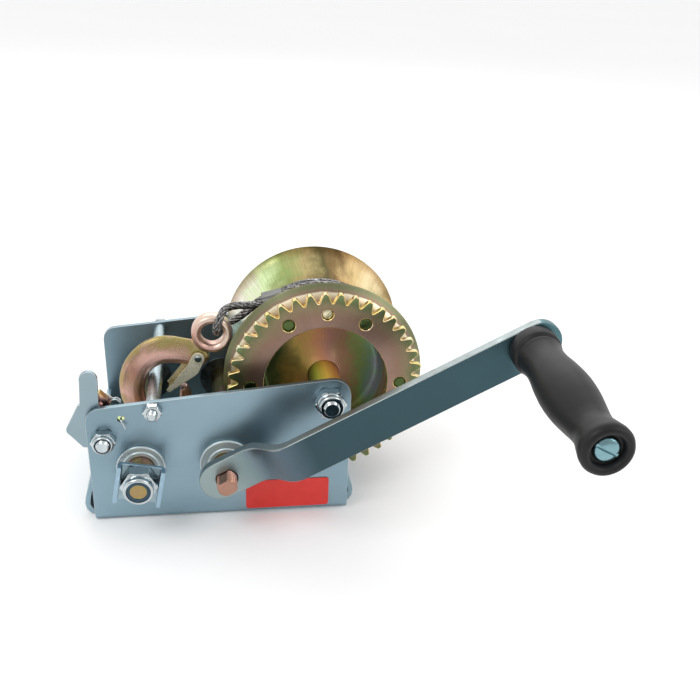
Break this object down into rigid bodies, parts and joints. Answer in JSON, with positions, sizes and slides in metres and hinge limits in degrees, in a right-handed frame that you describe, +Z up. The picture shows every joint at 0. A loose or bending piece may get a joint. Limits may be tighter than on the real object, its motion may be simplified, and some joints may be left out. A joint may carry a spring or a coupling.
{
  "type": "boat trailer winch",
  "caption": "Hand-cranked boat trailer winch: channel frame, geared cable drum, low-speed shaft with ratchet, cable, latched hook and long crank arm with grip.",
  "frame": {"origin": "centre of the frame base's underside, between the outer faces of the two side plates and between their ends", "axes": "+Z up from the base, +X towards the drum end, -Y towards the crank side; all shafts run along Y"},
  "size_m": [0.2787, 0.2717, 0.1429],
  "materials": {
    "zinc_plate": "blue-grey zinc plate on sheet steel, satin, with faint rolling marks",
    "bright_zinc": "bright zinc plate on turned and forged fasteners",
    "yellow_chromate": "yellow chromate on zinc, iridescent gold, green and pink, over brushed steel",
    "forged_hook": "yellow chromate on a rough forging, pink and copper with gold edges",
    "dark_steel": "dark oiled steel",
    "steel_cable": "galvanised seven-strand wire rope",
    "blue_nylon": "dark blue nylon locking ring",
    "black_grip": "matte black moulded plastic",
    "red_label": "plain red vinyl sticker with no lettering"
  },
  "bodies": {
    "frame_body": {"frame": "zinc_plate", "crank_bushing_near": "zinc_plate", "crank_bushing_far": "dark_steel", "low_bushing_near": "zinc_plate", "low_bushing_far": "dark_steel", "pawl_bolt": "bright_zinc", "pawl_nut": "bright_zinc", "pawl_nut_ring": "blue_nylon", "tie_bolt": "bright_zinc", "tie_nut": "bright_zinc", "spacer_tube": "bright_zinc", "drum_axle_bolt": "bright_zinc", "drum_axle_nut": "bright_zinc", "drum_axle_nut_ring": "blue_nylon", "axle_tube": "yellow_chromate", "label": "red_label", "hook": "forged_hook", "latch_pin": "bright_zinc", "cable_lead": "steel_cable", "ferrule": "bright_zinc", "pawl_spring": "bright_zinc"},
    "drum": {"drum_gear": "yellow_chromate", "drum_near_half": "yellow_chromate", "drum_far_half": "yellow_chromate", "gear_rivet_1": "yellow_chromate", "gear_rivet_2": "yellow_chromate", "gear_rivet_3": "yellow_chromate", "gear_rivet_4": "yellow_chromate", "gear_rivet_5": "yellow_chromate", "gear_rivet_6": "yellow_chromate", "cable_anchor_screw": "yellow_chromate", "drum_hub": "yellow_chromate", "cable_pack": "steel_cable"},
    "crank": {"crank_shaft": "yellow_chromate", "crank_circlip": "dark_steel", "drum_pinion": "yellow_chromate", "low_speed_gear": "yellow_chromate", "crank_collar": "yellow_chromate", "crank_arm": "zinc_plate", "grip_spindle": "bright_zinc", "grip_nut": "bright_zinc"},
    "low_shaft": {"low_speed_shaft": "yellow_chromate", "low_speed_circlip": "dark_steel", "low_speed_pinion": "yellow_chromate", "low_speed_collar": "yellow_chromate", "ratchet_wheel": "yellow_chromate", "low_speed_bracket": "zinc_plate", "low_speed_nut": "bright_zinc", "low_speed_nut_ring": "blue_nylon"},
    "grip_sleeve": {"grip": "black_grip"},
    "pawl_group": {"pawl": "yellow_chromate", "pawl_lever": "zinc_plate"},
    "latch_sheet": {"latch": "yellow_chromate"}
  },
  "joints": [
    {"name": "drum_turn", "type": "hinge", "parent": "frame_body", "child": "drum", "pos_m": [0.0647, 0, 0.07827], "axis": [0, 1, 0], "continuous": true},
    {"name": "crank_turn", "type": "hinge", "parent": "frame_body", "child": "crank", "pos_m": [0.0025, 0, 0.038], "axis": [0, 1, 0], "continuous": true},
    {"name": "low_shaft_turn", "type": "hinge", "parent": "frame_body", "child": "low_shaft", "pos_m": [-0.0479, 0, 0.038], "axis": [0, 1, 0], "continuous": true},
    {"name": "grip_spin", "type": "hinge", "parent": "crank", "child": "grip_sleeve", "pos_m": [0.17263, 0, 0.12808], "axis": [0, 1, 0], "continuous": true},
    {"name": "pawl_swing", "type": "hinge", "parent": "frame_body", "child": "pawl_group", "pos_m": [-0.068, 0, 0.0575], "axis": [0, 1, 0], "range_deg": [0, 14]},
    {"name": "latch_swing", "type": "hinge", "parent": "frame_body", "child": "latch_sheet", "pos_m": [-0.0125, 0, 0.0914], "axis": [0, 1, 0], "range_deg": [0, 8], "stiffness_Nm_per_rad": 0.05, "springref_deg": -20.05}
  ],
  "couplings": [
    {"joint": "crank_turn", "follows": "drum_turn", "ratio": -3.3333},
    {"joint": "low_shaft_turn", "follows": "drum_turn", "ratio": 5}
  ]
}
